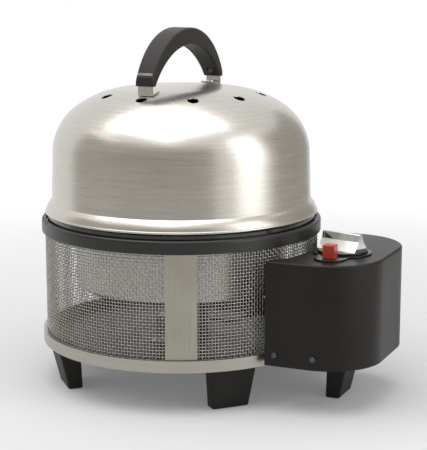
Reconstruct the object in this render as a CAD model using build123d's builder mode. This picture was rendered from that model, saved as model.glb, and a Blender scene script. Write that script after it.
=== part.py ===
from build123d import *
import math
import os

# Portable round gas grill: a lift-off steel lid over a grill plate and a fat bowl, in a barrel of
# wire mesh on four feet, with a gas control box beside it on a fifth foot.
# Millimetres, +Z up, standing on Z = 0. +X points from the barrel to the gas box.
# The origin is the middle of the footprint, so the barrel's axis stands at barrel_x.

os.makedirs("parts", exist_ok=True)

# ---- General ----
fit_gap = 0.3           # clearance between pieces that seat on or beside each other
shaft_gap = 0.05        # radial clearance of turning and sliding shafts
screw_gap = 0.1         # clearance round fastener shanks and under their heads

# ---- Barrel ----
foot_height = 46.2
band_height = 12.7
band_radius = 155.4
band_sheet = 1.0
band_lip = 14.0         # width of the band's lower lip, which carries the base pan
mesh_radius = 151.3
mesh_thickness = 1.2
window_count = 40
window_width = 16.0
window_height = 29.0
window_rows = 3
window_pitch = 34.0     # from one row of windows to the next
port_diameter = 22.0    # hole in the mesh and the box for the burner's mixing tube
pan_sheet = 1.2
pan_rim = 9.0
strip_width = 33.0
strip_sheet = 1.0
strip_turn = -65.2      # degrees from +X round to the middle of the seam strip
ring_radius = 155.0
ring_bottom = 170.0
ring_height = 14.0
ring_wall = 3.0
ring_shoulder = 3.0
shelf_width = 16.0
shelf_sheet = 2.5
shelf_drop = 4.5        # from the ring's top down to its shelf

# ---- Feet ----
foot_turn = 43.0        # degrees of the feet from the X axis
foot_face = 137.0       # barrel axis to a foot's outer face, at the floor
foot_lean = 11.0        # how far the outer face leans out on its way up
foot_depth = 16.0
foot_width = 41.6
foot_top_width = 49.4
foot_top_depth = 24.0
foot_round = 3.0

# ---- Fat bowl ----
bowl_sheet = 1.0
bowl_flange = 149.4
bowl_mouth = 133.0
bowl_wall = 117.5
bowl_slope = 15.0
bowl_depth = 73.0
bowl_round = 8.0
chimney_radius = 40.0
chimney_height = 26.0

# ---- Grill plate ----
plate_radius = 148.8
plate_thickness = 3.0
plate_rim_width = 3.5
plate_rim_height = 8.0
plate_dome_radius = 126.0
plate_dome_height = 13.0
slot_count = 24
slot_length = 30.0
slot_width = 5.0
slot_circle = 104.0
inner_slot_count = 12
inner_slot_length = 24.0
inner_slot_circle = 62.0
rib_count = 24
rib_length = 26.0
rib_width = 2.6
rib_height = 1.6

# ---- Lid ----
lid_sheet = 0.8
lid_bead = 1.55         # radius of the rolled lip
lid_lip_radius = 151.1
lid_flare_top = 14.0    # lip's bottom up to the step over the flared skirt
lid_step = 0.7
lid_wall_foot = 143.4
lid_wall_top = 141.8
lid_wall_height = 64.0  # lip's bottom up to the end of the wall
knuckle_radius = 63.4
knuckle_turn = 55.8
shoulder_radius = 114.5
shoulder_turn = 31.0
vent_count = 10
vent_diameter = 12.0
vent_circle = 88.0
lid_turn = 87.2         # degrees from +X to the handle's line; the loose lid lies at any turn
lid_lift = 150.0

# ---- Lid handle ----
handle_span = 162.6
handle_leg_height = 10.6    # lid crown to the bottom of the handle's legs, at the bracket
handle_rise = 58.0
handle_outer_arc = 92.0
handle_inner_arc = 90.2
handle_thickness = 18.5     # at the top of the arch
handle_width = 25.0
handle_leg_width = 21.0
handle_round = 2.6
bracket_width = 17.5
bracket_sheet = 1.5
bracket_inset = 1.4     # from the handle's outer face to the bracket
bracket_tongue = 14.0   # length of bracket inside the handle
bracket_toe = 15.0
bracket_rivet_diameter = 4.0
rivet_head = 8.0
rivet_head_height = 1.8
handle_screw_diameter = 4.0
handle_screw_head = 6.5
handle_screw_depth = 2.2    # from a leg's inner face to the seat of its screw

# ---- Gas box ----
box_reach = 243.6       # barrel axis to the box's end
box_width = 179.4
box_corner = 60.0
box_bottom = 49.8
box_height = 110.0
box_sheet = 1.5
box_edge = 2.5
box_hollow_radius = 163.0   # the box's curved side, round the barrel's axis
floor_sheet = 1.5
floor_flange = 16.0
spacer_diameter = 7.0
bolt_diameter = 3.0
bolt_head = 6.0
box_foot_reach = 187.0  # barrel axis to the middle of the box's foot
box_screw_diameter = 3.5
box_screw_head = 6.4
box_screw_height = 12.0     # above the box's bottom
box_screw_near = 147.0
box_screw_far = 189.0

# ---- Burner and gas parts ----
gas_height = 86.0       # floor to the axis of the burner's mixing tube
mixer_radius = 8.0
mixer_wall = 1.5
mixer_flare = 3.0
pot_radius = 14.0
pot_drop = 11.0         # mixing tube's axis down to the pot's bottom
head_radius = 26.0
head_bottom = 103.0
head_depth = 12.0
head_wall = 3.0
flame_slots = 24
flame_slot_width = 1.8
flame_slot_height = 5.0
cap_sheet = 2.0
bridge_width = 26.0
bridge_span = 84.0
bridge_foot = 14.0
bridge_sheet = 1.5
injector_radius = 6.0
injector_length = 12.0
tube_radius = 3.0
tube_bend = 8.0
valve_width = 24.0
valve_height = 32.0
valve_neck_radius = 8.0
valve_neck_height = 12.0
stem_radius = 3.0
stem_depth = 16.0       # length of stem inside the valve
electrode_reach = 33.0
electrode_radius = 2.5
electrode_height = 32.0
electrode_pin = 0.9
electrode_tip = 8.0
lead_radius = 1.5
lead_turn = 9.0         # degrees of the window that the ignition lead leaves the mesh by
inlet_radius = 6.58     # outside of the gas inlet nipple's thread
inlet_length = 18.0     # threaded length, outside the box
inlet_neck = 6.0        # radius of the plain neck through the box's wall
inlet_hex = 17.0
inlet_hex_height = 6.0
inlet_bore = 3.0
inlet_reach = 172.0     # barrel axis to the inlet, along the box
inlet_height = 96.0

# ---- Controls on the box's top ----
knob_reach = 195.0
knob_side = -18.5
knob_turn = -15.0       # degrees of the grip from +X, with the gas off
escutcheon_sheet = 2.0
escutcheon_radius = 31.0
escutcheon_lobe = 17.0
skirt_radius = 27.0
skirt_height = 2.2
grip_length = 46.0
grip_base = 24.0
grip_waist = 9.0        # width of the grip where its steep and flat sides meet
grip_ridge = 5.0
grip_height = 17.5
grip_waist_height = 10.0
grip_recess = 0.6
grip_recess_margin = 2.0
grip_round = 0.8
button_reach = 193.5
button_side = -53.5
button_width = 13.0
button_depth = 12.0
button_height = 13.5    # above the escutcheon
button_sink = 3.0       # length of button below the box's top, when it is out
button_travel = 6.0
button_round = 1.2
igniter_wall = 2.4
igniter_length = 46.0

# ---- Places worked out from the sizes above ----
barrel_x = (band_radius - box_reach) / 2
barrel_axis = Axis((barrel_x, 0, 0), (0, 0, 1))
# Revolved sections are drawn here: local X is the radius, local Y the height.
section = Plane(origin=(barrel_x, 0, 0), x_dir=(1, 0, 0), z_dir=(0, -1, 0))

mesh_inner = mesh_radius - mesh_thickness
band_bottom = foot_height
pan_bottom = band_bottom + band_sheet + fit_gap
pan_top = pan_bottom + pan_sheet
ring_top = ring_bottom + ring_height
shelf_top = ring_top - shelf_drop
shelf_bottom = shelf_top - shelf_sheet
mesh_bottom = pan_bottom
mesh_top = shelf_bottom - fit_gap
ring_mouth = bowl_flange + 1.0
bowl_flange_bottom = shelf_top + fit_gap
bowl_bottom = bowl_flange_bottom - bowl_depth
plate_bottom = bowl_flange_bottom + bowl_sheet + fit_gap
plate_rim_top = plate_bottom + plate_rim_height
lid_bottom = plate_rim_top + fit_gap
box_top = box_bottom + box_height
knob_x = barrel_x + knob_reach
button_x = barrel_x + button_reach
middle_row = (band_bottom + band_height + ring_bottom) / 2
window_step = 360 / window_count
foot_centre = foot_face - foot_depth / 2


def barrel_plane(height, turn=0.0):
    """A level plane on the barrel's axis, with its X turned from the gas box."""
    angle = math.radians(turn)
    x_dir = (math.cos(angle), math.sin(angle), 0)
    return Plane(origin=(barrel_x, 0, height), x_dir=x_dir, z_dir=(0, 0, 1))


def radial_plane(turn):
    """An upright plane through the barrel's axis: local X is the radius, local Y the height."""
    angle = math.radians(turn)
    x_dir = (math.cos(angle), math.sin(angle), 0)
    normal = (math.sin(angle), -math.cos(angle), 0)
    return Plane(origin=(barrel_x, 0, 0), x_dir=x_dir, z_dir=normal)


def outward_plane(turn, reach, height):
    """An upright plane facing out from the barrel's axis: local X is level, local Y up."""
    angle = math.radians(turn)
    outward = (math.cos(angle), math.sin(angle), 0)
    origin = (barrel_x + reach * outward[0], reach * outward[1], height)
    return Plane(origin=origin, x_dir=(-outward[1], outward[0], 0), z_dir=outward)


def write(part, name):
    part.label = name
    export_step(part, f"parts/{name}.step")


# ---- Barrel ----

# Pressed base pan, which closes the barrel below and carries the feet and the burner.
with BuildPart() as base_pan:
    with BuildSketch(section):
        with BuildLine():
            pan_edge = mesh_inner - fit_gap
            Polyline(
                (0, pan_bottom), (pan_edge, pan_bottom), (pan_edge, pan_bottom + pan_rim),
                (pan_edge - pan_sheet, pan_bottom + pan_rim), (pan_edge - pan_sheet, pan_top),
                (0, pan_top), close=True)
        make_face()
    revolve(axis=barrel_axis)
    for turn in (foot_turn, 180 - foot_turn, 180 + foot_turn, -foot_turn):
        with BuildSketch(barrel_plane(pan_bottom, turn)):
            with Locations((foot_centre, 0)):
                Circle(box_screw_diameter / 2 + screw_gap)
        extrude(amount=pan_sheet, mode=Mode.SUBTRACT)
write(base_pan.part, "base_pan")

# Rolled bottom band, a channel open to the mesh.
with BuildPart() as bottom_band:
    with BuildSketch(section):
        with BuildLine():
            band_top = band_bottom + band_height
            band_inside = mesh_radius + fit_gap
            wall = band_radius - band_sheet
            Polyline(
                (band_radius - band_lip, band_bottom), (band_radius, band_bottom),
                (band_radius, band_top), (band_inside, band_top),
                (band_inside, band_top - band_sheet), (wall, band_top - band_sheet),
                (wall, band_bottom + band_sheet), (band_radius - band_lip, band_bottom + band_sheet),
                close=True)
        make_face()
    revolve(axis=barrel_axis)
write(bottom_band.part, "bottom_band")

# Mesh barrel: one rolled wall with rows of windows, a port for the mixing tube and holes for the
# bolts that carry the gas box, which sit where the bars between the windows cross.
bolt_turns = (-2.5 * window_step, 2.5 * window_step)
bolt_heights = (middle_row - window_pitch / 2, middle_row + window_pitch / 2)
with BuildPart(barrel_plane(0)) as mesh_barrel:
    with BuildSketch(section):
        with Locations((mesh_radius - mesh_thickness / 2, (mesh_bottom + mesh_top) / 2)):
            Rectangle(mesh_thickness, mesh_top - mesh_bottom)
    revolve(axis=barrel_axis)
    for row in range(window_rows):
        row_height = middle_row + (row - (window_rows - 1) / 2) * window_pitch
        with Locations((0, 0, row_height)):
            with PolarLocations(mesh_radius, window_count):
                Box(3 * mesh_thickness, window_width, window_height, mode=Mode.SUBTRACT)
    with BuildSketch(outward_plane(0, mesh_inner, gas_height)):
        Circle(port_diameter / 2)
    extrude(amount=3 * mesh_thickness, both=True, mode=Mode.SUBTRACT)
    for turn in bolt_turns:
        for height in bolt_heights:
            with BuildSketch(outward_plane(turn, mesh_inner, height)):
                Circle(bolt_diameter / 2 + screw_gap)
            extrude(amount=3 * mesh_thickness, both=True, mode=Mode.SUBTRACT)
write(mesh_barrel.part, "mesh_barrel")

# Plain strip over the seam of the mesh.
with BuildPart() as seam_strip:
    strip_inner = mesh_radius + fit_gap
    strip_bottom = band_top + fit_gap
    with BuildSketch(barrel_plane(strip_bottom, strip_turn)):
        half_turn = math.degrees(strip_width / 2 / strip_inner)
        with BuildLine():
            outer = CenterArc((0, 0), strip_inner + strip_sheet, -half_turn, 2 * half_turn)
            inner = CenterArc((0, 0), strip_inner, -half_turn, 2 * half_turn)
            Line(outer @ 0, inner @ 0)
            Line(outer @ 1, inner @ 1)
        make_face()
    extrude(amount=ring_bottom - fit_gap - strip_bottom)
write(seam_strip.part, "seam_strip")

# Moulded top ring, with the shelf that the bowl hangs on.
with BuildPart() as top_ring:
    with BuildSketch(section):
        with BuildLine():
            ring_inner = ring_radius - ring_wall
            shelf_inner = ring_mouth - shelf_width
            crown = (ring_radius - ring_shoulder, ring_top)
            skirt = Polyline(
                crown, (ring_mouth, ring_top), (ring_mouth, shelf_top), (shelf_inner, shelf_top),
                (shelf_inner, shelf_bottom), (ring_inner, shelf_bottom), (ring_inner, ring_bottom),
                (ring_radius, ring_bottom), (ring_radius, ring_top - ring_shoulder))
            RadiusArc(skirt @ 1, crown, -ring_shoulder)
        make_face()
    revolve(axis=barrel_axis)
write(top_ring.part, "top_ring")


def build_foot(turn, centre_radius, outer_face, top_height):
    """A moulded foot that widens and leans out on its way up."""
    with BuildPart() as foot:
        with BuildSketch(barrel_plane(0, turn)):
            with Locations((centre_radius, 0)):
                RectangleRounded(foot_depth, foot_width, foot_round)
        with BuildSketch(barrel_plane(top_height, turn)):
            with Locations((outer_face + foot_lean - foot_top_depth / 2, 0)):
                RectangleRounded(foot_top_depth, foot_top_width, foot_round)
        loft()
        fillet(foot.faces().sort_by(Axis.Z)[0].edges(), radius=foot_round * 0.6)
        with BuildSketch(barrel_plane(top_height, turn)):
            with Locations((centre_radius, 0)):
                Circle(box_screw_diameter / 2 + screw_gap)
        extrude(amount=-foot_height / 3, mode=Mode.SUBTRACT)
    return foot.part


def build_screw(plane, head_radius, head_height, shank_radius, shank_length):
    """A round-headed screw: its head stands on the plane and its shank goes down."""
    with BuildPart() as screw:
        with BuildSketch(plane):
            Circle(head_radius)
        extrude(amount=head_height)
        up = Axis(plane.origin, plane.z_dir)
        fillet(screw.faces().sort_by(up)[-1].edges(), radius=head_height * 0.45)
        with BuildSketch(plane):
            Circle(shank_radius)
        extrude(amount=-shank_length)
    return screw.part


foot_turns = {
    "foot_front_right": -foot_turn,
    "foot_rear_right": foot_turn,
    "foot_rear_left": 180 - foot_turn,
    "foot_front_left": 180 + foot_turn,
}
foot_screws = []
for name, turn in foot_turns.items():
    write(build_foot(turn, foot_centre, foot_face, band_bottom - fit_gap), name)
    angle = math.radians(turn)
    screw_plane = Plane(
        origin=(barrel_x + foot_centre * math.cos(angle), foot_centre * math.sin(angle),
                pan_top + screw_gap))
    foot_screws.append(build_screw(
        screw_plane, box_screw_head / 2, 2.2, box_screw_diameter / 2, foot_height / 4))
write(Compound(children=foot_screws), "foot_screws")

# ---- Fat bowl ----
with BuildPart() as fat_bowl:
    with BuildSketch(section):
        with BuildLine():
            top = bowl_flange_bottom
            slope_end = top - bowl_slope
            outside = FilletPolyline(
                (bowl_flange, top), (bowl_mouth, top), (bowl_wall, slope_end),
                (bowl_wall, bowl_bottom), (chimney_radius, bowl_bottom),
                (chimney_radius, bowl_bottom + chimney_height), radius=bowl_round * 0.75)
            offset(outside, amount=bowl_sheet, side=Side.LEFT)
        make_face()
    revolve(axis=barrel_axis)
write(fat_bowl.part, "fat_bowl")

# ---- Grill plate: a cast dome with radial slots, short ribs between them and an upstanding rim ----
with BuildPart(barrel_plane(0)) as grill_plate:
    with BuildSketch(section):
        with BuildLine():
            plate_top = plate_bottom + plate_thickness
            rim_inner = plate_radius - plate_rim_width
            under = SagittaArc((-plate_dome_radius, plate_bottom), (plate_dome_radius, plate_bottom),
                               -plate_dome_height, mode=Mode.PRIVATE)
            over = SagittaArc((-plate_dome_radius, plate_top), (plate_dome_radius, plate_top),
                              -plate_dome_height, mode=Mode.PRIVATE)
            ThreePointArc(under @ 0.5, under @ 0.75, under @ 1)
            ThreePointArc(over @ 0.5, over @ 0.75, over @ 1)
            Line(under @ 0.5, over @ 0.5)
            Polyline(
                under @ 1, (plate_radius, plate_bottom), (plate_radius, plate_rim_top),
                (rim_inner, plate_rim_top), (rim_inner, plate_top), over @ 1)
        make_face()
    revolve(axis=barrel_axis)
    with BuildSketch(barrel_plane(plate_bottom)):
        with PolarLocations(slot_circle, slot_count):
            SlotOverall(slot_length, slot_width)
        with PolarLocations(inner_slot_circle, inner_slot_count):
            SlotOverall(inner_slot_length, slot_width)
    extrude(amount=plate_dome_height + 2 * plate_thickness, mode=Mode.SUBTRACT)
    rim_edges = grill_plate.edges().filter_by(GeomType.CIRCLE).group_by(Axis.Z)[-1]
    fillet(rim_edges, radius=plate_rim_width * 0.3)
write(grill_plate.part, "grill_plate")

# ---- Lid ----
# The dome's outline is a steep wall, then a knuckle arc, a shoulder arc and a nearly flat crown.
wall_base_height = lid_bottom + lid_flare_top
wall_end_height = lid_bottom + lid_wall_height
knuckle = math.radians(knuckle_turn)
crown_start = math.radians(knuckle_turn + shoulder_turn)
shoulder_x = lid_wall_top - knuckle_radius - (shoulder_radius - knuckle_radius) * math.cos(knuckle)
shoulder_z = wall_end_height - (shoulder_radius - knuckle_radius) * math.sin(knuckle)
crown_edge_x = shoulder_x + shoulder_radius * math.cos(crown_start)
crown_edge_z = shoulder_z + shoulder_radius * math.sin(crown_start)
crown_radius = crown_edge_x / math.cos(crown_start)
lid_top = crown_edge_z + crown_radius * (1 - math.sin(crown_start))


def crown_height(radius):
    """Height of the dome's outside over a radius on its shoulder arc."""
    return shoulder_z + math.sqrt(shoulder_radius ** 2 - (radius - shoulder_x) ** 2)


def dome_curve(inset):
    """The dome's outline from the foot of the wall to its top, moved in by the inset."""
    wall = Line((lid_wall_foot - inset, wall_base_height), (lid_wall_top - inset, wall_end_height))
    bend = JernArc(wall @ 1, (0, 1), knuckle_radius - inset, knuckle_turn)
    turned = (-math.sin(knuckle), math.cos(knuckle))
    shoulder = JernArc(bend @ 1, turned, shoulder_radius - inset, shoulder_turn)
    ThreePointArc(
        shoulder @ 1,
        (crown_edge_x / 2,
         lid_top - crown_radius + math.sqrt((crown_radius - inset) ** 2 - crown_edge_x ** 2 / 4)),
        (0, lid_top - inset))
    return wall


bead_x = lid_lip_radius - lid_bead
bead_z = lid_bottom + lid_bead
with BuildPart(barrel_plane(0, lid_turn)) as dome_lid:
    with BuildSketch(section):
        with BuildLine():
            outer_wall = dome_curve(0)
            inner_wall = dome_curve(lid_sheet)
            Line((0, lid_top), (0, lid_top - lid_sheet))
            step = (lid_wall_foot + lid_step, wall_base_height - lid_step)
            inner_step = (step[0] - lid_sheet, step[1])
            Line(outer_wall @ 0, step)
            Line(inner_wall @ 0, inner_step)
            lip = (bead_x + lid_bead * 0.5, bead_z + lid_bead * 0.5)
            inner_lip = (lip[0] - lid_sheet * 1.2, lip[1])
            SagittaArc(step, lip, 0.9)
            SagittaArc(inner_step, inner_lip, 0.9)
            Line(lip, inner_lip)
        make_face()
        with Locations((bead_x, bead_z)):
            Circle(lid_bead)
    revolve(axis=barrel_axis)
    with BuildSketch(barrel_plane(wall_end_height, lid_turn)):
        with PolarLocations(vent_circle, vent_count):
            Circle(vent_diameter / 2)
    extrude(amount=lid_top - wall_end_height, mode=Mode.SUBTRACT)

# ---- Lid handle and its brackets ----
half_span = handle_span / 2
bracket_outer = half_span - bracket_inset
toe_end = bracket_outer - bracket_toe
leg_bottom = crown_height(bracket_outer) + handle_leg_height
handle_top = leg_bottom + handle_rise
rivet_radius = bracket_outer - bracket_toe * 0.6
rivet_slope = math.asin((rivet_radius - shoulder_x) / shoulder_radius)


def rivet_plane(side, lift):
    """A plane square to the dome at a bracket's rivet, lifted off the dome's outside."""
    angle = math.radians(lid_turn if side > 0 else lid_turn + 180)
    reach = shoulder_x + (shoulder_radius + lift) * math.sin(rivet_slope)
    height = shoulder_z + (shoulder_radius + lift) * math.cos(rivet_slope)
    slope_x = math.sin(rivet_slope)
    return Plane(
        origin=(barrel_x + reach * math.cos(angle), reach * math.sin(angle), height),
        x_dir=(-math.sin(angle), math.cos(angle), 0),
        z_dir=(slope_x * math.cos(angle), slope_x * math.sin(angle), math.cos(rivet_slope)))



def build_rivet(plane, head_radius, head_height, shank_radius, grip):
    """A rivet with a round head on the plane and a flat head past its grip."""
    with BuildPart() as rivet:
        with BuildSketch(plane):
            Circle(head_radius)
        extrude(amount=head_height)
        fillet(rivet.edges().sort_by(Axis(plane.origin, plane.z_dir))[-1], radius=head_height * 0.6)
        with BuildSketch(plane):
            Circle(shank_radius)
        extrude(amount=-grip)
        with BuildSketch(plane.offset(-grip)):
            Circle(head_radius * 0.8)
        extrude(amount=-head_height * 0.5)
    return rivet.part


toe_lift = 2 * fit_gap
toe_rise = (crown_height(toe_end) - crown_height(bracket_outer)) / bracket_toe
rivet_grip = lid_sheet + toe_lift + bracket_sheet + 2 * screw_gap
screw_height = leg_bottom + bracket_tongue / 2
bracket_names = {1: "handle_bracket_rear", -1: "handle_bracket_front"}
rivets = []
handle_screws = []
for side, name in bracket_names.items():
    turn = lid_turn if side > 0 else lid_turn + 180
    rivet_seat = rivet_plane(side, toe_lift + bracket_sheet)
    with BuildPart() as bracket:
        with BuildSketch(radial_plane(turn)):
            with BuildLine():
                heel = crown_height(bracket_outer) + toe_lift
                toe = crown_height(toe_end) + toe_lift
                bracket_inner = bracket_outer - bracket_sheet
                Polyline(
                    (bracket_outer, leg_bottom + bracket_tongue), (bracket_outer, heel),
                    (toe_end, toe), (toe_end, toe + bracket_sheet),
                    (bracket_inner, heel + toe_rise * bracket_sheet + bracket_sheet),
                    (bracket_inner, leg_bottom + bracket_tongue), close=True)
            make_face()
        extrude(amount=bracket_width / 2, both=True)
        with BuildSketch(rivet_seat):
            Circle(bracket_rivet_diameter / 2 + screw_gap)
        extrude(amount=2 * bracket_sheet, both=True, mode=Mode.SUBTRACT)
    with BuildPart(mode=Mode.PRIVATE) as screw_hole:
        with BuildSketch(outward_plane(turn, bracket_outer, screw_height)):
            Circle(handle_screw_diameter / 2 + screw_gap)
        extrude(amount=2 * bracket_sheet, both=True)
    write(bracket.part - screw_hole.part, name)

    with BuildPart(mode=Mode.PRIVATE) as rivet_hole:
        with BuildSketch(rivet_seat):
            Circle(bracket_rivet_diameter / 2 + screw_gap)
        extrude(amount=-4 * bracket_sheet)
    dome_lid.part -= rivet_hole.part
    rivets.append(build_rivet(
        rivet_plane(side, toe_lift + bracket_sheet + screw_gap), rivet_head / 2, rivet_head_height,
        bracket_rivet_diameter / 2, rivet_grip))
write(dome_lid.part, "dome_lid")
write(Compound(children=rivets), "handle_rivets")

# Moulded arch handle: a crescent in side view, widest at its top, slotted for the brackets.
with BuildPart() as lid_handle:
    with BuildSketch(radial_plane(lid_turn)):
        with BuildLine():
            arc_centre = handle_top - handle_outer_arc
            leg_top = arc_centre + math.sqrt(handle_outer_arc ** 2 - half_span ** 2)
            outer_arch = ThreePointArc((-half_span, leg_top), (0, handle_top), (half_span, leg_top))
            inner_top = handle_top - handle_thickness
            inner_centre = inner_top - handle_inner_arc
            inner_span = math.sqrt(handle_inner_arc ** 2 - (leg_bottom - inner_centre) ** 2)
            screw_seat = inner_span - handle_screw_depth
            inner_arch = ThreePointArc(
                (-inner_span, leg_bottom), (0, inner_top), (inner_span, leg_bottom))
            Polyline(outer_arch @ 1, (half_span, leg_bottom), inner_arch @ 1)
            Polyline(outer_arch @ 0, (-half_span, leg_bottom), inner_arch @ 0)
        make_face()
    extrude(amount=handle_width / 2, both=True)
    with BuildSketch(barrel_plane(leg_bottom, lid_turn)):
        with BuildLine():
            half_leg = handle_leg_width / 2
            near_side = ThreePointArc(
                (-half_span, -half_leg), (0, -handle_width / 2), (half_span, -half_leg))
            far_side = ThreePointArc(
                (-half_span, half_leg), (0, handle_width / 2), (half_span, half_leg))
            Line(near_side @ 0, far_side @ 0)
            Line(near_side @ 1, far_side @ 1)
        make_face()
    extrude(amount=handle_rise, mode=Mode.INTERSECT)
    long_edges = lid_handle.edges().filter_by(lambda edge: edge.length > handle_rise)
    fillet(long_edges, radius=handle_round)
    for turn in (lid_turn, lid_turn + 180):
        with BuildSketch(barrel_plane(leg_bottom, turn)):
            with Locations((bracket_outer - bracket_sheet / 2, 0)):
                Rectangle(bracket_sheet + 2 * screw_gap, bracket_width + 2 * screw_gap)
        extrude(amount=bracket_tongue + fit_gap, mode=Mode.SUBTRACT)
        with BuildSketch(outward_plane(turn, screw_seat, screw_height)):
            Circle(handle_screw_head / 2 + screw_gap)
        extrude(amount=-bracket_tongue, mode=Mode.SUBTRACT)
        with BuildSketch(outward_plane(turn, screw_seat, screw_height)):
            Circle(handle_screw_diameter / 2 + screw_gap)
        extrude(amount=bracket_outer + bracket_inset / 2 - screw_seat, mode=Mode.SUBTRACT)
        handle_screws.append(build_screw(
            outward_plane(turn + 180, screw_gap - screw_seat, screw_height), handle_screw_head / 2, 2.0,
            handle_screw_diameter / 2, bracket_outer - screw_seat))
write(lid_handle.part, "lid_handle")
write(Compound(children=handle_screws), "handle_screws")

# ---- Gas box ----


def box_outline(inset):
    """The box's plan: straight sides, a round outer end and a side that follows the barrel."""
    half_width = box_width / 2 - inset
    end = box_reach - inset
    corner = box_corner - inset
    hollow = box_hollow_radius + inset
    hollow_x = math.sqrt(hollow ** 2 - half_width ** 2)
    ThreePointArc((hollow_x, -half_width), (hollow, 0), (hollow_x, half_width))
    for side in (-1, 1):
        straight = Line((hollow_x, side * half_width), (end - corner, side * half_width))
        RadiusArc(straight @ 1, (end, side * (half_width - corner)), side * corner)
    Line((end, corner - half_width), (end, half_width - corner))


box_floor_bottom = box_bottom + floor_sheet
plate_underside = box_top - box_sheet
screw_level = box_bottom + box_screw_height
screw_reaches = (box_screw_near, box_screw_far)
screw_wall = box_width / 2
knob_bore = Plane((knob_x, knob_side, plate_underside))
button_bore = Plane((button_x, button_side, plate_underside))
igniter_width = button_width + 2 * (igniter_wall + fit_gap)
igniter_depth = button_depth + 2 * (igniter_wall + fit_gap)


def side_plane(reach, side, height):
    """A plane on the box's long side, facing out."""
    return Plane(
        origin=(barrel_x + reach, side * screw_wall, height), x_dir=(side, 0, 0), z_dir=(0, side, 0))


# One welded shell, open below.
with BuildPart() as box_shell:
    with BuildSketch(barrel_plane(box_bottom)):
        with BuildLine():
            box_outline(0)
        make_face()
    extrude(amount=box_height)
    fillet(box_shell.faces().sort_by(Axis.Z)[-1].edges(), radius=box_edge)
    with BuildSketch(barrel_plane(box_bottom)):
        with BuildLine():
            box_outline(box_sheet)
        make_face()
    extrude(amount=box_height - box_sheet, mode=Mode.SUBTRACT)
    with BuildSketch(knob_bore):
        Circle(stem_radius + 2 * fit_gap)
    extrude(amount=2 * box_sheet, mode=Mode.SUBTRACT)
    with BuildSketch(button_bore):
        Rectangle(igniter_width + 2 * screw_gap, igniter_depth + 2 * screw_gap)
    extrude(amount=2 * box_sheet, mode=Mode.SUBTRACT)
    for side in (-1, 1):
        for reach in screw_reaches:
            with BuildSketch(side_plane(reach, side, screw_level)):
                Circle(box_screw_diameter / 2 + screw_gap)
            extrude(amount=-2 * box_sheet, mode=Mode.SUBTRACT)
    with BuildSketch(side_plane(inlet_reach, 1, inlet_height)):
        Circle(inlet_radius + screw_gap)
    extrude(amount=-2 * box_sheet, mode=Mode.SUBTRACT)
    with BuildSketch(outward_plane(0, box_hollow_radius, gas_height)):
        Circle(port_diameter / 2)
    extrude(amount=3 * box_sheet, both=True, mode=Mode.SUBTRACT)
    with BuildSketch(outward_plane(lead_turn, box_hollow_radius, gas_height)):
        Circle(2 * lead_radius)
    extrude(amount=3 * box_sheet, both=True, mode=Mode.SUBTRACT)
    for turn in bolt_turns:
        for height in bolt_heights:
            with BuildSketch(outward_plane(turn, box_hollow_radius, height)):
                Circle(bolt_diameter / 2 + screw_gap)
            extrude(amount=3 * box_sheet, both=True, mode=Mode.SUBTRACT)
write(box_shell.part, "box_shell")

# Floor tray, screwed to the shell through its turned-up rim.
with BuildPart() as box_floor:
    with BuildSketch(barrel_plane(box_floor_bottom)):
        with BuildLine():
            box_outline(box_sheet + screw_gap)
        make_face()
    extrude(amount=floor_flange)
    with BuildSketch(barrel_plane(box_floor_bottom + floor_sheet)):
        with BuildLine():
            box_outline(box_sheet + screw_gap + floor_sheet)
        make_face()
    extrude(amount=floor_flange, mode=Mode.SUBTRACT)
    for side in (-1, 1):
        for reach in screw_reaches:
            with BuildSketch(side_plane(reach, side, screw_level)):
                Circle(box_screw_diameter / 2 + screw_gap)
            extrude(amount=-4 * box_sheet, mode=Mode.SUBTRACT)
    with BuildSketch(barrel_plane(box_floor_bottom)):
        with Locations((box_foot_reach, 0)):
            Circle(box_screw_diameter / 2 + screw_gap)
    extrude(amount=floor_sheet, mode=Mode.SUBTRACT)
write(box_floor.part, "box_floor")

box_screws = []
for side in (-1, 1):
    for reach in screw_reaches:
        seat = side_plane(reach, side, screw_level).offset(screw_gap)
        box_screws.append(build_screw(
            seat, box_screw_head / 2, 2.0, box_screw_diameter / 2, 3 * box_sheet))
write(Compound(children=box_screws), "box_screws")

# The box's own foot stands under the middle of its floor.
write(build_foot(0, box_foot_reach, box_foot_reach + foot_depth / 2,
                 box_floor_bottom - fit_gap), "box_foot")
box_foot_screw = build_screw(
    Plane((barrel_x + box_foot_reach, 0, box_floor_bottom + floor_sheet + screw_gap)),
    box_screw_head / 2, 2.2, box_screw_diameter / 2, foot_height / 4)
write(box_foot_screw, "box_foot_screw")

# Spacers and bolts that hold the box off the hot mesh, with their nuts inside the mesh.
spacers = []
bolts = []
nuts = []
for turn in bolt_turns:
    for height in bolt_heights:
        with BuildPart() as spacer:
            with BuildSketch(outward_plane(turn, mesh_radius + fit_gap, height)):
                Circle(spacer_diameter / 2)
                Circle(bolt_diameter / 2 + screw_gap, mode=Mode.SUBTRACT)
            extrude(amount=box_hollow_radius - mesh_radius - 2 * fit_gap)
        spacers.append(spacer.part)
        head_seat = box_hollow_radius + box_sheet + screw_gap
        nut_seat = mesh_inner - screw_gap
        nut_height = 2.4
        bolts.append(build_screw(
            outward_plane(turn, head_seat, height), bolt_head / 2, 2.0, bolt_diameter / 2,
            head_seat - nut_seat + nut_height))
        with BuildPart() as nut:
            with BuildSketch(outward_plane(turn, nut_seat, height)):
                RegularPolygon(bolt_head / 2, 6)
                Circle(bolt_diameter / 2 + shaft_gap, mode=Mode.SUBTRACT)
            extrude(amount=-nut_height)
        nuts.append(nut.part)
write(Compound(children=spacers), "box_spacers")
write(Compound(children=bolts), "box_bolts")
write(Compound(children=nuts), "box_nuts")

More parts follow.
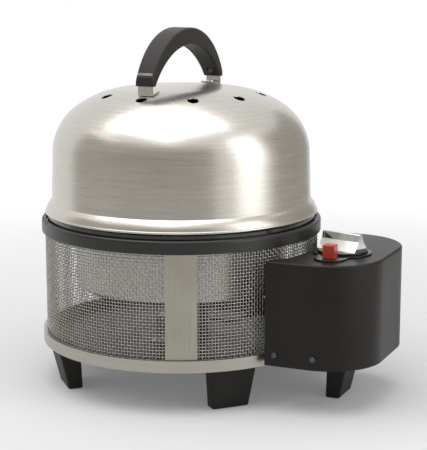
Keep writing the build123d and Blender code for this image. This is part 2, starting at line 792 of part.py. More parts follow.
# ---- Burner ----
pot_bottom = gas_height - pot_drop
mixer_end = box_hollow_radius + box_sheet
with BuildPart() as burner_body:
    with BuildSketch(section):
        with BuildLine():
            head_top = head_bottom + head_depth
            head_floor = head_bottom + head_wall
            Polyline(
                (0, pot_bottom), (pot_radius, pot_bottom), (pot_radius, head_bottom),
                (head_radius, head_bottom), (head_radius, head_top),
                (head_radius - head_wall, head_top), (head_radius - head_wall, head_floor),
                (pot_radius - head_wall, head_floor), (pot_radius - head_wall, pot_bottom + head_wall),
                (0, pot_bottom + head_wall), close=True)
        make_face()
    revolve(axis=barrel_axis)
    with BuildSketch(outward_plane(0, pot_radius - head_wall, gas_height)):
        Circle(mixer_radius)
    extrude(amount=mixer_end - pot_radius + head_wall)
    with BuildSketch(outward_plane(0, 0, gas_height)):
        Circle(mixer_radius - mixer_wall)
    extrude(amount=mixer_end, mode=Mode.SUBTRACT)
    with BuildSketch(barrel_plane(head_top)):
        with PolarLocations(head_radius - head_wall / 2, flame_slots):
            Rectangle(2 * head_wall, flame_slot_width)
    extrude(amount=-flame_slot_height, mode=Mode.SUBTRACT)
write(burner_body.part, "burner_body")

with BuildPart() as burner_cap:
    with BuildSketch(section):
        with BuildLine():
            cap_radius = head_radius + cap_sheet / 2
            cap_crown = head_top + 2 * cap_sheet
            rim = Line((cap_radius, head_top), (cap_radius, head_top + cap_sheet * 0.6))
            RadiusArc((0, cap_crown), rim @ 1, 6 * cap_radius)
            Polyline(rim @ 0, (0, head_top), (0, cap_crown))
        make_face()
    revolve(axis=barrel_axis)
write(burner_cap.part, "burner_cap")

# Bridge from the base pan up to the burner pot, with a hole for the electrode.
with BuildPart() as burner_bridge:
    with BuildSketch(radial_plane(90)):
        with BuildLine():
            half_bridge = bridge_span / 2
            inner_half = half_bridge - bridge_sheet
            bridge_top = pot_bottom
            Polyline(
                (-half_bridge - bridge_foot, pan_top), (-half_bridge - bridge_foot, pan_top + bridge_sheet),
                (-half_bridge, pan_top + bridge_sheet), (-half_bridge, bridge_top),
                (half_bridge, bridge_top), (half_bridge, pan_top + bridge_sheet),
                (half_bridge + bridge_foot, pan_top + bridge_sheet), (half_bridge + bridge_foot, pan_top),
                (inner_half, pan_top), (inner_half, bridge_top - bridge_sheet),
                (-inner_half, bridge_top - bridge_sheet), (-inner_half, pan_top), close=True)
        make_face()
    extrude(amount=bridge_width / 2, both=True)
    with BuildSketch(barrel_plane(bridge_top, 90)):
        with Locations((electrode_reach, 0)):
            Circle(electrode_radius + screw_gap)
    extrude(amount=-2 * bridge_sheet, mode=Mode.SUBTRACT)
write(burner_bridge.part, "burner_bridge")

# Spark electrode: a ceramic sleeve with a collar on the bridge, and a pin beside the flames.
electrode_bottom = bridge_top - electrode_radius * 2
with BuildPart() as spark_electrode:
    with BuildSketch(barrel_plane(electrode_bottom, 90)):
        with Locations((electrode_reach, 0)):
            Circle(electrode_radius)
    extrude(amount=electrode_height)
    with BuildSketch(barrel_plane(bridge_top + screw_gap, 90)):
        with Locations((electrode_reach, 0)):
            Circle(electrode_radius * 1.5)
    extrude(amount=electrode_radius)
    with BuildSketch(barrel_plane(electrode_bottom, 90)):
        with Locations((electrode_reach, 0)):
            Circle(electrode_pin)
    extrude(amount=electrode_height + electrode_tip)
write(spark_electrode.part, "spark_electrode")

# Injector in the mouth of the mixing tube.
injector_start = mixer_end + fit_gap
with BuildPart() as injector:
    with BuildSketch(outward_plane(0, injector_start, gas_height)):
        RegularPolygon(injector_radius * 1.25, 6)
    extrude(amount=injector_length)
    with BuildSketch(outward_plane(0, injector_start, gas_height)):
        Circle(mixer_radius - mixer_wall - 2 * fit_gap)
        Circle(mixer_radius - 2 * mixer_wall, mode=Mode.SUBTRACT)
    extrude(amount=-injector_length / 2)
write(injector.part, "injector")

# ---- Gas line ----
injector_end = barrel_x + injector_start + injector_length
valve_top = plate_underside - valve_neck_height
valve_bottom = valve_top - valve_height
valve_middle = valve_top - valve_height / 2


def build_tube(points, radius, bend):
    """A round tube along straight runs joined by bends."""
    with BuildPart() as tube:
        with BuildLine():
            path = FilletPolyline(*points, radius=bend)
        with BuildSketch(Plane(origin=path @ 0, z_dir=path % 0)):
            Circle(radius)
        sweep()
    return tube.part


with BuildPart() as gas_valve:
    with BuildSketch(Plane((knob_x, knob_side, valve_bottom))):
        RectangleRounded(valve_width, valve_width, 2)
    extrude(amount=valve_height)
    with BuildSketch(Plane((knob_x, knob_side, valve_top))):
        Circle(valve_neck_radius)
    extrude(amount=valve_neck_height)
    with BuildSketch(knob_bore):
        Circle(stem_radius + shaft_gap)
    extrude(amount=-stem_depth - fit_gap, mode=Mode.SUBTRACT)
write(gas_valve.part, "gas_valve")

turn_in = 2 * tube_bend + 4.0
gas_tube = build_tube(
    [(knob_x, knob_side, valve_bottom), (knob_x, knob_side, gas_height),
     (injector_end + turn_in / 2, 0, gas_height), (injector_end, 0, gas_height)],
    tube_radius, tube_bend)
write(gas_tube, "gas_tube")

# Threaded inlet nipple on the side of the box, with its pipe to the valve.
inlet_x = barrel_x + inlet_reach
with BuildPart() as gas_inlet:
    inner_seat = side_plane(inlet_reach, 1, inlet_height).offset(-box_sheet)
    with BuildSketch(inner_seat):
        Circle(inlet_neck)
    extrude(amount=box_sheet + fit_gap)
    with BuildSketch(side_plane(inlet_reach, 1, inlet_height).offset(fit_gap)):
        Circle(inlet_radius)
    extrude(amount=inlet_length)
    with BuildSketch(inner_seat):
        RegularPolygon(inlet_hex / 2, 6, major_radius=False)
    extrude(amount=-inlet_hex_height)
    with BuildSketch(side_plane(inlet_reach, 1, inlet_height).offset(fit_gap + inlet_length)):
        Circle(inlet_bore)
    extrude(amount=-inlet_length - fit_gap - box_sheet - inlet_hex_height / 2, mode=Mode.SUBTRACT)
write(gas_inlet.part, "gas_inlet")

pipe_start = screw_wall - box_sheet - inlet_hex_height
valve_side = knob_side + valve_width / 2
pipe_run = (pipe_start - valve_side) / 3
inlet_pipe = build_tube(
    [(inlet_x, pipe_start, inlet_height), (inlet_x, pipe_start - pipe_run, inlet_height),
     (knob_x, valve_side + pipe_run, valve_middle), (knob_x, valve_side, valve_middle)],
    tube_radius, 2 * tube_bend)
write(inlet_pipe, "inlet_pipe")

# ---- Knob, with the stem that it turns ----
skirt_bottom = box_top + escutcheon_sheet + fit_gap
grip_bottom = skirt_bottom + skirt_height
knob_angle = math.radians(knob_turn)
along = Vector(math.cos(knob_angle), math.sin(knob_angle), 0)
across = Vector(-math.sin(knob_angle), math.cos(knob_angle), 0)
knob_foot = Vector(knob_x, knob_side, grip_bottom)
bore_depth = skirt_height + grip_height / 2

with BuildPart() as valve_stem:
    with BuildSketch(Plane((knob_x, knob_side, plate_underside - stem_depth))):
        Circle(stem_radius)
    extrude(amount=stem_depth + box_sheet + escutcheon_sheet + fit_gap + bore_depth - fit_gap)
write(valve_stem.part, "valve_stem")

with BuildPart() as knob_skirt:
    with BuildSketch(Plane((knob_x, knob_side, skirt_bottom))):
        Circle(skirt_radius)
        Circle(stem_radius + shaft_gap, mode=Mode.SUBTRACT)
    extrude(amount=skirt_height)
    top_rim = knob_skirt.edges().filter_by(GeomType.CIRCLE).sort_by(SortBy.RADIUS)[-2:]
    fillet(top_rim.sort_by(Axis.Z)[-1], radius=skirt_height * 0.6)
write(knob_skirt.part, "knob_skirt")

# The grip is a bar with steep sides over a flatter foot, recessed on both steep sides.
with BuildPart() as knob_grip:
    with BuildSketch(Plane(origin=knob_foot - along * (grip_length / 2), x_dir=across, z_dir=along)):
        with BuildLine():
            Polyline(
                (-grip_base / 2, 0), (grip_base / 2, 0), (grip_waist / 2, grip_waist_height),
                (grip_ridge / 2, grip_height), (-grip_ridge / 2, grip_height),
                (-grip_waist / 2, grip_waist_height), close=True)
        make_face()
    extrude(amount=grip_length)
    fillet(knob_grip.faces().sort_by(Axis.Z)[-1].edges(), radius=grip_round)
    facet_out = (grip_waist - grip_ridge) / 2
    facet_up = grip_height - grip_waist_height
    facet_length = math.hypot(facet_out, facet_up)
    for side in (-1, 1):
        facet_normal = across * (side * facet_up) + Vector(0, 0, facet_out)
        facet_middle = (knob_foot + across * (side * (grip_waist + grip_ridge) / 4)
                        + Vector(0, 0, grip_waist_height + facet_up / 2))
        with BuildSketch(Plane(origin=facet_middle, x_dir=along, z_dir=facet_normal)):
            Rectangle(grip_length - 2 * grip_recess_margin, facet_length - grip_recess_margin)
        extrude(amount=-grip_recess, mode=Mode.SUBTRACT)
    with BuildSketch(Plane(knob_foot)):
        Circle(stem_radius + shaft_gap)
    extrude(amount=grip_height / 2, mode=Mode.SUBTRACT)
write(knob_grip.part, "knob_grip")

# ---- Escutcheon: a round plate under the knob, drawn out to a lobe round the button ----
lobe_direction = Vector(button_x - knob_x, button_side - knob_side, 0)
lobe_side = lobe_direction.normalized().rotate(Axis.Z, 90)
with BuildPart() as escutcheon:
    with BuildSketch(Plane((0, 0, box_top))):
        with Locations((knob_x, knob_side)):
            Circle(escutcheon_radius)
        with Locations((button_x, button_side)):
            Circle(escutcheon_lobe)
        with BuildLine():
            lobe_centre = Vector(button_x, button_side)
            waist = Vector(knob_x, knob_side)
            Polyline(
                lobe_centre + lobe_side * escutcheon_lobe, lobe_centre - lobe_side * escutcheon_lobe,
                waist - lobe_side * escutcheon_lobe, waist + lobe_side * escutcheon_lobe, close=True)
        make_face()
        with Locations((button_x, button_side)):
            Rectangle(button_width + 2 * fit_gap, button_depth + 2 * fit_gap, mode=Mode.SUBTRACT)
        with Locations((knob_x, knob_side)):
            Circle(stem_radius + 2 * fit_gap, mode=Mode.SUBTRACT)
    extrude(amount=escutcheon_sheet)
    rim = escutcheon.faces().sort_by(Axis.Z)[-1].outer_wire().edges()
    fillet(rim, radius=escutcheon_sheet * 0.4)
write(escutcheon.part, "escutcheon")

# ---- Igniter and its button ----
igniter_bottom = box_top - igniter_length
button_bottom = box_top - button_sink
with BuildPart() as igniter:
    with BuildSketch(Plane((button_x, button_side, igniter_bottom))):
        RectangleRounded(igniter_width, igniter_depth, button_round)
    extrude(amount=igniter_length)
    with BuildSketch(Plane((button_x, button_side, box_top))):
        Rectangle(button_width + 2 * fit_gap, button_depth + 2 * fit_gap)
    extrude(amount=-button_sink - button_travel - 2 * fit_gap, mode=Mode.SUBTRACT)
write(igniter.part, "igniter")

with BuildPart() as ignition_button:
    with BuildSketch(Plane((button_x, button_side, button_bottom))):
        RectangleRounded(button_width, button_depth, button_round)
    extrude(amount=button_sink + escutcheon_sheet + button_height)
    fillet(ignition_button.faces().sort_by(Axis.Z)[-1].edges(), radius=button_round * 0.8)
write(ignition_button.part, "ignition_button")

# Ignition lead, from the electrode's foot through the mesh and round under the valve.
electrode_y = electrode_reach
lead_angle = math.radians(lead_turn)
lead_level = pan_top + pan_rim
window_x = barrel_x + mesh_radius * math.cos(lead_angle)
window_y = mesh_radius * math.sin(lead_angle)
wall_x = barrel_x + box_hollow_radius * math.cos(lead_angle)
wall_y = box_hollow_radius * math.sin(lead_angle)
lead_slope = (wall_y - window_y) / (wall_x - window_x)
inside_x = barrel_x + mesh_radius * 0.75
outside_x = barrel_x + box_hollow_radius + 22.0
lead_points = [
    (barrel_x, electrode_y, electrode_bottom),
    (barrel_x, electrode_y, lead_level),
    (barrel_x + 48.0, electrode_y - 6.0, lead_level),
    (inside_x, window_y + (inside_x - window_x) * lead_slope, gas_height),
    (outside_x, window_y + (outside_x - window_x) * lead_slope, gas_height),
    (outside_x + 30.0, 10.0, lead_level + 6.0),
    (outside_x + 18.0, button_side + 4.0, lead_level + 6.0),
    (button_x, button_side, igniter_bottom - 24.0),
    (button_x, button_side, igniter_bottom),
]
ignition_lead = build_tube(lead_points, lead_radius, 7.0)
write(ignition_lead, "ignition_lead")
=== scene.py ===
import math

import bpy
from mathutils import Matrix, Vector


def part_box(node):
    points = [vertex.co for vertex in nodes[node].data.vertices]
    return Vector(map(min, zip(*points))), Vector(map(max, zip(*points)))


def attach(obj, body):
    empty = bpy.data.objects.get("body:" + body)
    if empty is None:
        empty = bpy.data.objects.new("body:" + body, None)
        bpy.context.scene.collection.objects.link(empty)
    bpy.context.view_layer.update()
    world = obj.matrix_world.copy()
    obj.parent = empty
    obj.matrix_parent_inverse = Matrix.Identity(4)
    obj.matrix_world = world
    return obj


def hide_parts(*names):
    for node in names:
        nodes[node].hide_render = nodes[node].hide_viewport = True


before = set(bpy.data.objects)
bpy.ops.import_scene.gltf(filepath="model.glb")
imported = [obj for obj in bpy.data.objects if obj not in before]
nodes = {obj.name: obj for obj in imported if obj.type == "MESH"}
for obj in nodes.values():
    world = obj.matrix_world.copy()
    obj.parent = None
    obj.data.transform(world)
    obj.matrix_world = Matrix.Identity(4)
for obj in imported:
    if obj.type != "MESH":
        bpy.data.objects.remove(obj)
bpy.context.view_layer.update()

# ---- Camera ----
# Stands a metre and a half off, a little above the lid, and looks down at the front of the barrel
# with the gas box to the right.
camera_data = bpy.data.cameras.new("camera")
camera_data.lens = 109.2
camera_data.sensor_width = 36.0
camera = bpy.data.objects.new("camera", camera_data)
camera.location = (0.5941, -1.3563, 0.461)
camera.rotation_euler = (math.radians(79.05), 0.0, math.radians(23.84))
bpy.context.scene.collection.objects.link(camera)
bpy.context.scene.camera = camera
bpy.context.scene.view_settings.view_transform = "Standard"

# ---- Studio ----
# A white floor in a white surround, lit by one large soft light overhead, a tall one at the right
# and a wide weak one at the left. Grey cards out of view shade what the polished steel reflects.
barrel_x = (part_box("bottom_band")[0].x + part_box("bottom_band")[1].x) / 2


class Signal:
    """The output of a node, so that sums on it can be written as sums."""

    def __init__(self, tree, socket):
        self.tree = tree
        self.socket = socket

    def maths(self, operation, first, second):
        return self.tree.add("ShaderNodeMath", {"operation": operation}, {0: first, 1: second})

    def __add__(self, other):
        return self.maths("ADD", self, other)

    def __sub__(self, other):
        return self.maths("SUBTRACT", self, other)

    def __rsub__(self, other):
        return self.maths("SUBTRACT", other, self)

    def __mul__(self, other):
        return self.maths("MULTIPLY", self, other)

    def __truediv__(self, other):
        return self.maths("DIVIDE", self, other)

    def __pow__(self, other):
        return self.maths("POWER", self, other)

    def __lt__(self, other):
        return self.maths("LESS_THAN", self, other)

    def __gt__(self, other):
        return self.maths("GREATER_THAN", self, other)

    __radd__ = __add__
    __rmul__ = __mul__


class Tree:
    """A node tree under construction."""

    def __init__(self, tree):
        self.tree = tree
        self.tree.nodes.clear()

    def add(self, kind, settings=None, sockets=None, output=0):
        node = self.tree.nodes.new(kind)
        for name, value in (settings or {}).items():
            if name == "stops":
                node.color_ramp.elements[0].position = value[0][0]
                node.color_ramp.elements[0].color = (*value[0][1], 1.0)
                node.color_ramp.elements[1].position = value[-1][0]
                node.color_ramp.elements[1].color = (*value[-1][1], 1.0)
                for place, colour in value[1:-1]:
                    node.color_ramp.elements.new(place).color = (*colour, 1.0)
            else:
                setattr(node, name, value)
        for name, value in (sockets or {}).items():
            if isinstance(value, Signal):
                self.tree.links.new(value.socket, node.inputs[name])
            else:
                node.inputs[name].default_value = value
        return Signal(self, node.outputs[output]) if len(node.outputs) else None

    def others(self, signal, *names):
        """Further outputs of the node that a signal comes from."""
        return [Signal(self, signal.socket.node.outputs[name]) for name in names]

    def seen(self):
        """1 for rays from the camera, and for those that metal and glass send on."""
        path = self.add("ShaderNodeLightPath")
        straight, glossy, through = self.others(
            path, "Is Camera Ray", "Is Glossy Ray", "Is Transmission Ray")
        return (straight + glossy + through) > 0.5


surround_fill = 0.30     # what the surround adds to the light on the object
world = bpy.data.worlds.new("surround")
world.use_nodes = True
air = Tree(world.node_tree)
strength = air.seen() * (1.0 - surround_fill) + surround_fill
air.add("ShaderNodeOutputWorld", None, {
    0: air.add("ShaderNodeBackground", None, {0: (1.0, 1.0, 1.0, 1.0), 1: strength})})
bpy.context.scene.world = world


def card(name, centre, target, width, height):
    """A flat sheet that faces a target."""
    away = Vector(centre) - Vector(target)
    turn = away.to_track_quat("Z", "Y")
    corners = [(width * across / 2, height * up / 2)
               for across, up in ((-1, -1), (1, -1), (1, 1), (-1, 1))]
    mesh = bpy.data.meshes.new(name)
    mesh.from_pydata(
        [Vector(centre) + turn @ Vector((x, y, 0)) for x, y in corners], [], [(0, 1, 2, 3)])
    sheet = bpy.data.objects.new(name, mesh)
    bpy.context.scene.collection.objects.link(sheet)
    return sheet


floor_white = bpy.data.materials.new("floor_white")
floor_white.use_nodes = True
ground = Tree(floor_white.node_tree)
floor_glow = 0.14        # lifts the floor towards white, and leaves its shadow
fade_start, fade_width = 0.30, 0.80
matt = ground.add("ShaderNodeBsdfDiffuse", None, {0: (0.80, 0.80, 0.80, 1.0)})
glow = ground.add("ShaderNodeEmission", None, {
    0: (1.0, 1.0, 1.0, 1.0), 1: ground.seen() * floor_glow})
near = ground.add("ShaderNodeAddShader", None, {0: matt, 1: glow})
far = ground.add("ShaderNodeEmission", None, {0: (1.0, 1.0, 1.0, 1.0), 1: 1.0})
spot = ground.add("ShaderNodeSeparateXYZ", None, {0: ground.add("ShaderNodeTexCoord", output="Object")})
aside, = ground.others(spot, "Y")
away = ((spot * spot + aside * aside) ** 0.5 - fade_start) / fade_width
fade = ground.add("ShaderNodeMath", {"operation": "ADD", "use_clamp": True}, {0: away, 1: 0.0})
ground.add("ShaderNodeOutputMaterial", None, {
    0: ground.add("ShaderNodeMixShader", None, {0: fade * ground.seen(), 1: near, 2: far})})
floor = card("floor", (0.0, 0.0, -0.0004), (0.0, 0.0, -1.0), 14.0, 14.0)
floor.data.materials.append(floor_white)


def soft_light(name, place, width, height, watts):
    lamp = bpy.data.lights.new(name, "AREA")
    lamp.shape = "RECTANGLE"
    lamp.size = width
    lamp.size_y = height
    lamp.energy = watts
    holder = bpy.data.objects.new(name, lamp)
    holder.location = place
    aim = Vector(place) - Vector((barrel_x, 0.0, 0.2))
    holder.rotation_euler = aim.to_track_quat("Z", "Y").to_euler()
    bpy.context.scene.collection.objects.link(holder)


soft_light("overhead", (-0.2, -0.3, 1.9), 2.2, 2.0, 24.0)
soft_light("tall_right", (1.05, -0.10, 0.55), 0.55, 1.1, 3.0)
soft_light("wide_left", (-1.6, -0.9, 0.8), 1.2, 1.4, 6.0)

card_grey = bpy.data.materials.new("card_grey")
card_grey.use_nodes = True
shade = Tree(card_grey.node_tree)
shade.add("ShaderNodeOutputMaterial", None, {
    0: shade.add("ShaderNodeEmission", None, {0: (1.0, 0.97, 0.92, 1.0), 1: 0.46})})
card_reach, card_width, card_height = 1.0, 0.60, 0.90
for name, turn in (("card_left", -150.0), ("card_front_left", -118.0), ("card_front", -86.0),
                   ("card_front_right", -54.0), ("card_right", 32.0), ("card_rear", 64.0)):
    place = (barrel_x + card_reach * math.cos(math.radians(turn)),
             card_reach * math.sin(math.radians(turn)), card_height / 2)
    centre = (barrel_x, 0.0, card_height / 2)
    flag = card(name, place, centre, card_width, card_height)
    flag.data.materials.append(card_grey)
    flag.visible_camera = False
    flag.visible_diffuse = False
    flag.visible_shadow = False

# ---- Lid ----
# A dome pressed from stainless sheet and brushed round its axis on a lathe, so that fine lines ring
# it from the rolled lip to the crown. Ten vents are punched in the crown.


class Finish(Tree):
    """A material on the standard surface shader."""

    def __init__(self, name, **plain):
        material = bpy.data.materials.new(name)
        material.use_nodes = True
        super().__init__(material.node_tree)
        self.material = material
        self.shader = self.add("ShaderNodeBsdfPrincipled", None, {
            key.replace("_", " ").title().replace("Ior", "IOR"): value for key, value in plain.items()})
        self.add("ShaderNodeOutputMaterial", None, {0: self.shader})
        here = self.add("ShaderNodeTexCoord", output="Object")
        self.place = self.add("ShaderNodeMapping", None, {0: here, 1: (-barrel_x, 0.0, 0.0)})
        self.x = self.add("ShaderNodeSeparateXYZ", None, {0: self.place})
        self.y, self.z = self.others(self.x, "Y", "Z")

    def feed(self, **sockets):
        for name, value in sockets.items():
            shader_input = self.shader.socket.node.inputs[name.replace("_", " ")]
            self.tree.links.new(value.socket, shader_input)

    def noise(self, vector, scale, detail=2.0, roughness=0.5):
        return self.add("ShaderNodeTexNoise", None, {
            "Vector": vector, "Scale": scale, "Detail": detail, "Roughness": roughness})

    def ramp(self, factor, *stops):
        return self.add("ShaderNodeValToRGB", {"stops": stops}, {0: factor})

    def bump(self, height, depth, strength=1.0):
        self.feed(Normal=self.add("ShaderNodeBump", None, {
            "Height": height, "Distance": depth, "Strength": strength}))

    def wear(self, *names):
        for name in names:
            for place in nodes[name].material_slots:
                place.material = self.material


def scaled(colour, share):
    return tuple(min(1.0, c * share) for c in colour)


def brushed_round(name, colour, roughness, line_pitch, depth, spread=0.05):
    """Sheet metal brushed in rings about the barrel's axis."""
    made = Finish(name, metallic=1.0)
    radius = (made.x * made.x + made.y * made.y) ** 0.5 + 1e-6
    along = made.add("ShaderNodeCombineXYZ", None, {
        0: made.x / radius * 2.5, 1: made.y / radius * 2.5, 2: (radius - made.z) * (1.0 / line_pitch)})
    lines = made.noise(along, 1.0, 4.0, 0.65)
    cloud = made.noise(made.place, 9.0, 3.0)
    made.feed(Base_Color=made.ramp(lines * 0.7 + cloud * 0.3,
                                   (0.30, scaled(colour, 0.88)), (0.70, scaled(colour, 1.10))))
    made.feed(Roughness=(lines - 0.5) * spread * 2.0 + (cloud - 0.5) * spread + roughness)
    made.bump(lines, depth)
    return made


lid_steel = brushed_round("lid_steel", (0.56, 0.535, 0.49), 0.27, 0.0022, 0.00005)
lid_steel.wear("dome_lid")

# ---- Lid handle ----
# An arch moulded in black heat-proof plastic with a fine spark-eroded grain. Two stamped steel
# brackets hold it up off the crown, screwed into its legs and riveted to the lid.


def moulded(name, colour, roughness, grain_pitch, depth):
    """Plastic or paint with an even grain, a little dusty and worn in patches."""
    made = Finish(name, specular_ior_level=0.25)
    grain = made.noise(made.place, 1.0 / grain_pitch, 2.0, 0.6)
    cloud = made.noise(made.place, 22.0, 4.0)
    made.feed(Base_Color=made.ramp(cloud * 0.6 + grain * 0.4,
                                   (0.32, scaled(colour, 0.78)), (0.68, scaled(colour, 1.30))))
    made.feed(Roughness=(cloud - 0.5) * 0.16 + (grain - 0.5) * 0.10 + roughness)
    made.bump(grain, depth)
    return made


handle_black = moulded("handle_black", (0.028, 0.025, 0.022), 0.46, 0.0009, 0.00008)
handle_black.wear("lid_handle")


def stamped(name, colour, roughness, scratch_pitch, metallic=1.0):
    """Small metal pieces with rolling marks in one direction and a few stains."""
    made = Finish(name, metallic=metallic)
    across = made.add("ShaderNodeMapping", None, {0: made.place, 3: (1.0, 9.0, 1.4)})
    lines = made.noise(across, 1.0 / scratch_pitch, 3.0, 0.6)
    cloud = made.noise(made.place, 70.0, 3.0)
    made.feed(Base_Color=made.ramp(cloud * 0.5 + lines * 0.5,
                                   (0.30, scaled(colour, 0.80)), (0.70, scaled(colour, 1.14))))
    made.feed(Roughness=(lines - 0.5) * 0.16 + (cloud - 0.5) * 0.14 + roughness)
    made.bump(lines, 0.00003)
    return made


bracket_bright = stamped("bracket_bright", (0.64, 0.62, 0.58), 0.26, 0.004)
bracket_bright.wear("handle_bracket_rear", "handle_bracket_front", "handle_rivets", "burner_bridge")
dark_screw = stamped("dark_screw", (0.10, 0.10, 0.10), 0.35, 0.003)
dark_screw.wear("handle_screws", "box_screws")

# ---- Top ring and grill plate ----
# The ring is deep-drawn steel with satin black enamel, thick enough to round over its edges. The
# cast plate inside it has a glossy non-stick coat with fine mineral specks.


def enamelled(name, colour, roughness, peel_pitch, depth, coat):
    made = Finish(name, coat_weight=coat, coat_roughness=0.12)
    peel = made.noise(made.place, 1.0 / peel_pitch, 1.0)
    cloud = made.noise(made.place, 14.0, 4.0)
    specks = made.noise(made.place, 1400.0, 0.0) > 0.74
    shown = made.ramp(cloud, (0.30, scaled(colour, 0.80)), (0.70, scaled(colour, 1.25)))
    made.feed(Base_Color=made.add("ShaderNodeMix", {"data_type": "RGBA"}, {
        "Factor": specks * 0.5, 6: shown, 7: (*scaled(colour, 2.4), 1.0)}, 2))
    made.feed(Roughness=(cloud - 0.5) * 0.14 + (peel - 0.5) * 0.06 + roughness)
    made.bump(peel, depth)
    return made


enamelled("ring_enamel", (0.010, 0.009, 0.008), 0.38, 0.004, 0.00010, 0.08).wear("top_ring")
enamelled("plate_coat", (0.012, 0.012, 0.012), 0.16, 0.006, 0.00012, 0.6).wear("grill_plate")
enamelled("pan_enamel", (0.020, 0.020, 0.020), 0.40, 0.004, 0.00010, 0.1).wear("base_pan")

# ---- Wire mesh barrel ----
# Plain-woven stainless wire, bent into a drum. Each wire passes over one wire of the other set and
# under the next. It hangs inside the ring and stands on the base pan.
mesh_low, mesh_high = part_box("mesh_barrel")
wire_pitch = 0.0034
weave_radius = mesh_high.x - barrel_x - 0.0006
wire_half = (0.00045, 0.00056)       # radial and sideways
weave_swing = 0.0004
wires_round = 2 * round(math.pi * weave_radius / wire_pitch)
wires_up = round((mesh_high.z - mesh_low.z - 0.001) / wire_pitch)
port_height = (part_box("burner_body")[0].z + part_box("burner_body")[1].z) / 2


class Shape(Tree):
    """A tree of shape nodes with named inputs."""

    def __init__(self, name, **sizes):
        group = bpy.data.node_groups.new(name, "GeometryNodeTree")
        super().__init__(group)
        group.interface.new_socket("Geometry", in_out="OUTPUT", socket_type="NodeSocketGeometry")
        self.keys = {}
        for label, value in sizes.items():
            kind = "NodeSocketInt" if isinstance(value, int) else "NodeSocketFloat"
            made = group.interface.new_socket(label, in_out="INPUT", socket_type=kind)
            self.keys[label] = made.identifier
        self.sizes = sizes
        start = self.tree.nodes.new("NodeGroupInput")
        self.size = {label: Signal(self, start.outputs[label]) for label in sizes}

    def made(self, name, geometry, finish):
        """Runs the tree, and returns its result as a plain mesh object."""
        whole = self.add("GeometryNodeRealizeInstances", None, {0: geometry})
        coated = self.add("GeometryNodeSetMaterial", None, {"Geometry": whole, "Material": finish.material})
        end = self.tree.nodes.new("NodeGroupOutput")
        self.tree.links.new(coated.socket, end.inputs[0])
        holder = bpy.data.objects.new(name + "_maker", bpy.data.meshes.new(name + "_maker"))
        bpy.context.scene.collection.objects.link(holder)
        modifier = holder.modifiers.new("shape", "NODES")
        modifier.node_group = self.tree
        for label, value in self.sizes.items():
            modifier[self.keys[label]] = value
        graph = bpy.context.evaluated_depsgraph_get()
        mesh = bpy.data.meshes.new_from_object(holder.evaluated_get(graph))
        bpy.data.objects.remove(holder)
        piece = bpy.data.objects.new(name, mesh)
        bpy.context.scene.collection.objects.link(piece)
        mesh.shade_smooth()
        return piece


wire_steel = stamped("wire_steel", (0.48, 0.46, 0.42), 0.25, 0.002)


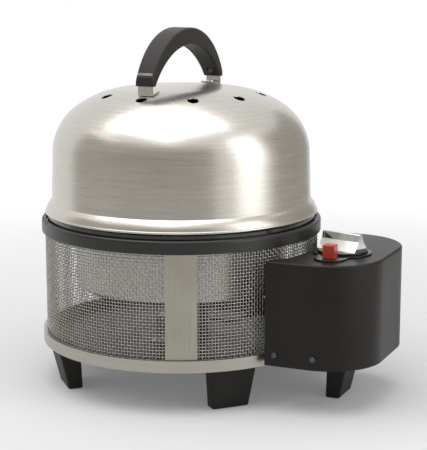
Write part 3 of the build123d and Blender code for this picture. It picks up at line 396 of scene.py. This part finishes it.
def wires(name, upright):
    """One wire, bent over and under its neighbours, then set out as often as the weave needs."""
    tree = Shape(name, Radius=weave_radius, Bottom=mesh_low.z + 0.0008, Pitch=wire_pitch,
                 Thickness=wire_half[0], Width=wire_half[1], Swing=weave_swing,
                 Around=wires_round, Up=wires_up, Axis_X=barrel_x,
                 Port_Height=port_height, Port_Radius=0.0112)
    size = tree.size
    crossings = wires_up if upright else wires_round
    strip = tree.add("GeometryNodeMeshGrid", None, {0: 1.0, 1: 1.0, 2: crossings * 2 + 1, 3: 5})
    spot = tree.add("ShaderNodeSeparateXYZ", None, {0: tree.add("GeometryNodeInputPosition")})
    section = (tree.others(spot, "Y")[0] + 0.5) * math.tau
    along = spot + 0.5

    def wave(kind, turn):
        return tree.add("ShaderNodeMath", {"operation": kind}, {0: turn})

    from_middle = tree.add("ShaderNodeMath", {"operation": "ABSOLUTE"}, {0: spot})
    closed = (from_middle < 0.49999) if upright else 1.0
    thick = wave("COSINE", section) * size["Thickness"] * closed
    wide = wave("SINE", section) * size["Width"] * closed
    sets = []
    for odd in (0, 1):
        crossing = along * (size["Up"] if upright else size["Around"])
        swing = wave("COSINE", crossing * math.pi + math.pi * odd) * size["Swing"]
        if upright:
            reach = size["Radius"] - swing + thick
            place = tree.add("ShaderNodeCombineXYZ", None, {
                0: reach, 1: wide, 2: size["Bottom"] + crossing * size["Pitch"]})
        else:
            reach, turn = size["Radius"] + swing + thick, along * math.tau
            place = tree.add("ShaderNodeCombineXYZ", None, {
                0: reach * wave("COSINE", turn), 1: reach * wave("SINE", turn), 2: wide})
        bent = tree.add("GeometryNodeSetPosition", None, {"Geometry": strip, "Position": place})
        wire = tree.add("GeometryNodeMergeByDistance", None, {0: bent, "Distance": 0.00001})
        index = tree.add("GeometryNodeInputIndex") * 2.0 + odd
        if upright:
            spots = tree.add("GeometryNodeMeshLine", None, {
                "Count": wires_round // 2, "Offset": (0, 0, 0)})
            spin = tree.add("ShaderNodeCombineXYZ", None, {2: index * math.tau / size["Around"]})
            sets.append(tree.add("GeometryNodeInstanceOnPoints", None, {
                "Points": spots, "Instance": wire, "Rotation": spin}))
        else:
            spots = tree.add("GeometryNodeMeshLine", None, {
                "Count": (wires_up + 2 - odd) // 2, "Offset": (0, 0, 0)})
            level = tree.add("ShaderNodeCombineXYZ", None, {2: size["Bottom"] + index * size["Pitch"]})
            placed = tree.add("GeometryNodeSetPosition", None, {"Geometry": spots, "Position": level})
            sets.append(tree.add("GeometryNodeInstanceOnPoints", None, {
                "Points": placed, "Instance": wire}))
    both = tree.add("GeometryNodeJoinGeometry")
    for part in sets:
        tree.tree.links.new(part.socket, both.socket.node.inputs[0])
    whole = tree.add("GeometryNodeRealizeInstances", None, {0: both})
    spot = tree.add("ShaderNodeSeparateXYZ", None, {0: tree.add("GeometryNodeInputPosition")})
    side, height = tree.others(spot, "Y", "Z")
    drop = height - size["Port_Height"]
    in_port = ((side * side + drop * drop) ** 0.5 < size["Port_Radius"]) * (spot > 0.0)
    cut = tree.add("GeometryNodeDeleteGeometry", None, {0: whole, 1: in_port})
    shift = tree.add("ShaderNodeCombineXYZ", None, {0: size["Axis_X"]})
    return tree.made(name, tree.add("GeometryNodeTransform", None, {
        "Geometry": cut, "Translation": shift}), wire_steel)


for wire_name, stands in (("wires_upright", True), ("wires_round", False)):
    woven = wires(wire_name, stands)
    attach(woven, "base")
    if stands:
        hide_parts("mesh_barrel")

# ---- Bottom band and seam strip ----
# The band is rolled sheet that clips round the foot of the mesh and carries the base pan. The strip
# covers the upright joint of the mesh, and its face is bare, brushed from end to end.
brushed_round("band_steel", (0.42, 0.40, 0.355), 0.34, 0.0012, 0.00003).wear("bottom_band")
strip_steel = Finish("strip_steel", metallic=1.0)
upright_grain = strip_steel.add("ShaderNodeMapping", None, {0: strip_steel.place, 3: (1.0, 1.0, 0.02)})
strip_lines = strip_steel.noise(upright_grain, 900.0, 3.0, 0.6)
strip_cloud = strip_steel.noise(strip_steel.place, 30.0, 3.0)
strip_steel.feed(
    Base_Color=strip_steel.ramp(strip_lines * 0.5 + strip_cloud * 0.5,
                                (0.30, (0.34, 0.32, 0.275)), (0.70, (0.43, 0.41, 0.355))),
    Roughness=(strip_lines - 0.5) * 0.12 + 0.36)
strip_steel.bump(strip_lines, 0.00003)
strip_steel.wear("seam_strip")

# ---- Feet ----
# Tapered blocks moulded in black plastic with a coarse matt grain, screwed up into the band and
# into the gas box.
moulded("foot_black", (0.015, 0.014, 0.012), 0.52, 0.0012, 0.00010).wear(
    "foot_front_right", "foot_rear_right", "foot_rear_left", "foot_front_left", "box_foot")
stamped("plain_screw", (0.50, 0.49, 0.47), 0.32, 0.003).wear(
    "foot_screws", "box_foot_screw", "box_spacers", "box_bolts", "box_nuts")

# ---- Gas box ----
# Folded steel with a satin black powder coat, screwed to its floor low on each side.
moulded("powder_black", (0.012, 0.0095, 0.0075), 0.40, 0.0016, 0.00006).wear("box_shell", "box_floor")

# ---- Fat bowl ----
# Spun from bright aluminium: faint rings run round it, and they show through the mesh.
brushed_round("spun_aluminium", (0.74, 0.73, 0.70), 0.34, 0.0030, 0.00006).wear("fat_bowl")

# ---- Burner and gas parts ----
# A cast burner under a stamped bridge, with turned brass fittings and drawn aluminium tube.
moulded("cast_iron", (0.10, 0.095, 0.09), 0.62, 0.0022, 0.00030).wear("burner_body", "burner_cap")
stamped("turned_brass", (0.66, 0.47, 0.20), 0.28, 0.003).wear(
    "injector", "gas_valve", "gas_inlet", "valve_stem")
stamped("drawn_tube", (0.66, 0.65, 0.63), 0.34, 0.003).wear("gas_tube", "inlet_pipe")
moulded("glazed_ceramic", (0.74, 0.72, 0.67), 0.20, 0.0030, 0.00004).wear("spark_electrode")
moulded("lead_rubber", (0.02, 0.02, 0.02), 0.58, 0.0010, 0.00006).wear("ignition_lead")

# ---- Knob, button and the plate under them ----
# The knob is a plated grip on a black skirt. The red igniter button stands in its own lobe of the
# glossy black plate.
moulded("gloss_black", (0.012, 0.012, 0.012), 0.20, 0.0040, 0.00003).wear(
    "knob_skirt", "escutcheon", "igniter")
plated = Finish("plated", metallic=1.0)
smudge = plated.noise(plated.place, 90.0, 4.0)
plated.feed(Base_Color=plated.ramp(smudge, (0.30, (0.70, 0.70, 0.69)), (0.70, (0.80, 0.80, 0.79))),
            Roughness=(smudge - 0.5) * 0.10 + 0.10)
plated.bump(smudge, 0.00002)
plated.wear("knob_grip")
moulded("button_red", (0.52, 0.065, 0.035), 0.38, 0.0012, 0.00006).wear("ignition_button")
